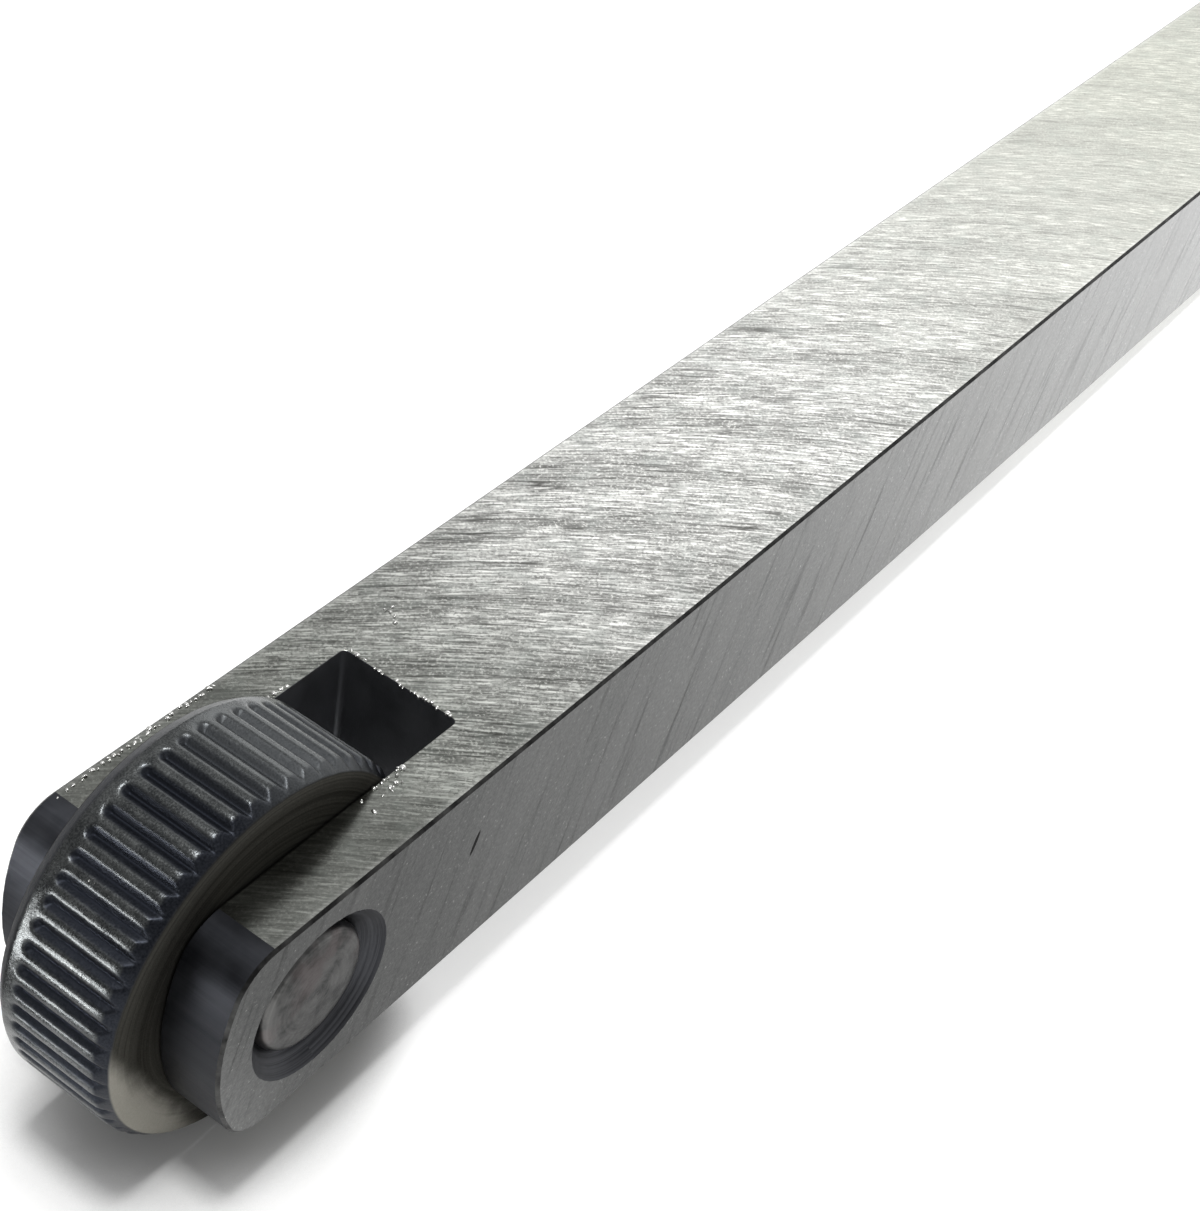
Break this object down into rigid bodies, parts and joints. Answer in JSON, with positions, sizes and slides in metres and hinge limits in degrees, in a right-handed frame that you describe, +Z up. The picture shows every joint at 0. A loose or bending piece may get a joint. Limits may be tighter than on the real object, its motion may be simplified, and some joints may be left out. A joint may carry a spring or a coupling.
{
  "type": "knurling tool",
  "caption": "Rectangular steel lathe holder with a forked, rounded head that carries one straight knurl wheel turning on a pressed pin.",
  "frame": {"origin": "on the seat face under the bar, at the bar's centre line and in the middle of the length between the slot's root and the tail", "axes": "+X along the bar from the wheel to the tail, +Y across the bar along the axle, +Z up from the seat face"},
  "size_m": [0.1302, 0.0126, 0.0191],
  "materials": {
    "ground_steel": "surface-ground top with diagonal grinding lines, smoother grey sides",
    "hardened_steel": "dark hardened steel, crests worn bright",
    "pin_steel": "plain drawn steel, ends faced"
  },
  "bodies": {
    "holder": {"shank": "ground_steel", "axle_pin": "pin_steel"},
    "wheel": {"knurl_wheel": "hardened_steel"}
  },
  "joints": [
    {"name": "wheel_spin", "type": "hinge", "parent": "holder", "child": "wheel", "pos_m": [-0.0665, 0.00015, 0.00555], "axis": [0, 1, 0], "continuous": true}
  ]
}
